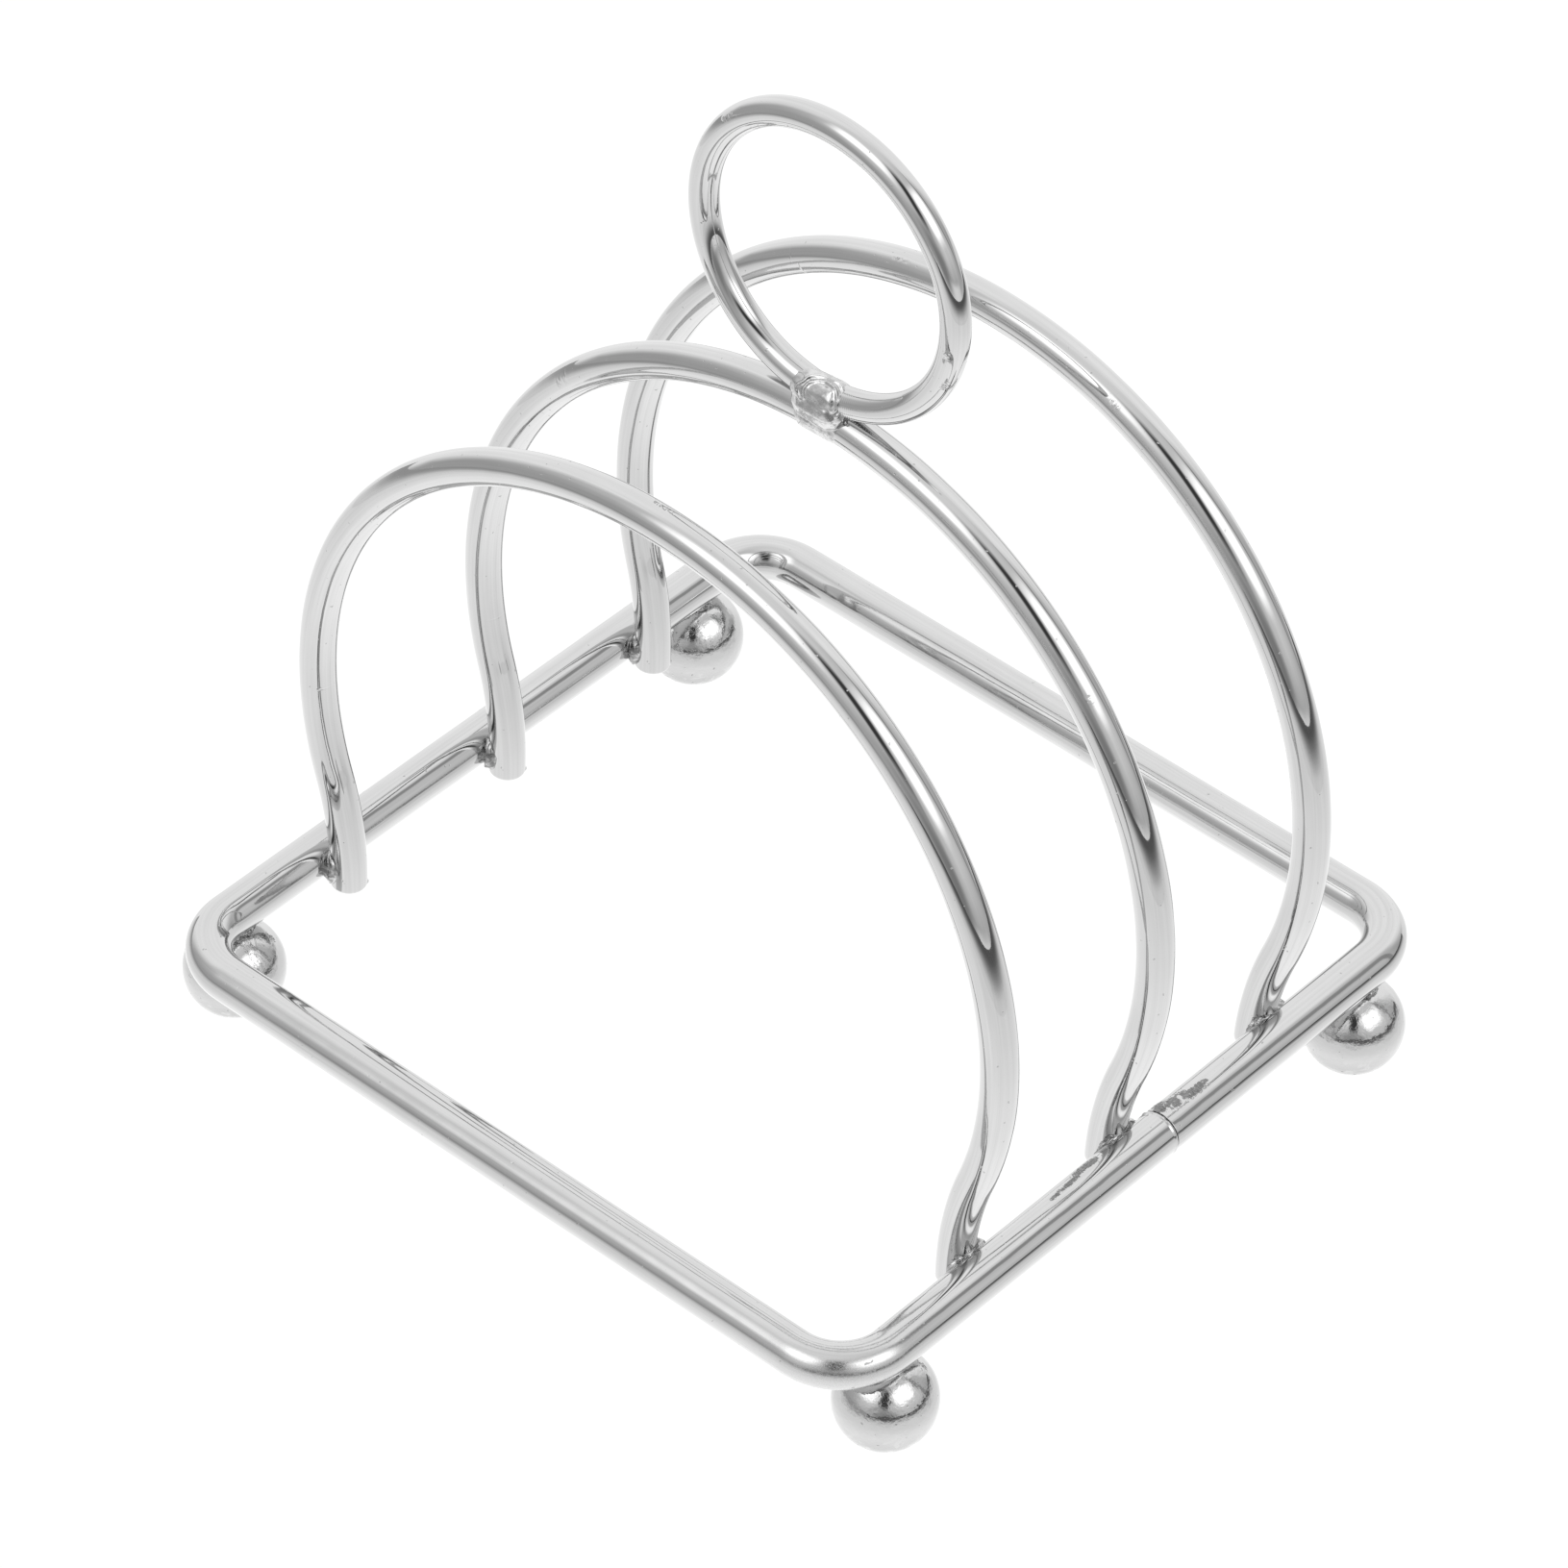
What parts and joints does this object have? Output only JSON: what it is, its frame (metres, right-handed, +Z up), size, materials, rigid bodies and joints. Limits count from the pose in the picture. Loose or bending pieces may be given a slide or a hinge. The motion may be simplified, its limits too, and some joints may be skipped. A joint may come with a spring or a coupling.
{
  "type": "wire toast rack",
  "caption": "Chrome wire toast rack: rounded square wire base on ball feet, round wire arches that hold slices upright, and a finger ring on the middle arch.",
  "frame": {"origin": "on the table, under the middle of the base frame", "axes": "+X to the right along the arches, +Y to the rear across the slots, +Z up through the ring"},
  "size_m": [0.1035, 0.0962, 0.123],
  "materials": {
    "frame_wire": "bright chrome plate over drawn steel wire, with light handling scratches",
    "arch_wire": "bright chrome plate over drawn steel wire",
    "ring_wire": "bright chrome plate over thinner drawn steel wire",
    "foot_ball": "mirror chrome plate over a steel ball",
    "weld": "plated over rough, wrinkled weld flash"
  },
  "bodies": {
    "root": {"base_frame": "frame_wire", "frame_joint_weld": "weld", "foot_front_left": "foot_ball", "foot_front_right": "foot_ball", "foot_rear_left": "foot_ball", "foot_rear_right": "foot_ball", "foot_weld_front_left": "weld", "foot_weld_front_right": "weld", "foot_weld_rear_left": "weld", "foot_weld_rear_right": "weld", "arch_front": "arch_wire", "arch_middle": "arch_wire", "arch_rear": "arch_wire", "leg_weld_front_left": "weld", "leg_weld_front_right": "weld", "leg_weld_middle_left": "weld", "leg_weld_middle_right": "weld", "leg_weld_rear_left": "weld", "leg_weld_rear_right": "weld", "ring_handle": "ring_wire", "handle_weld": "weld"}
  },
  "joints": []
}
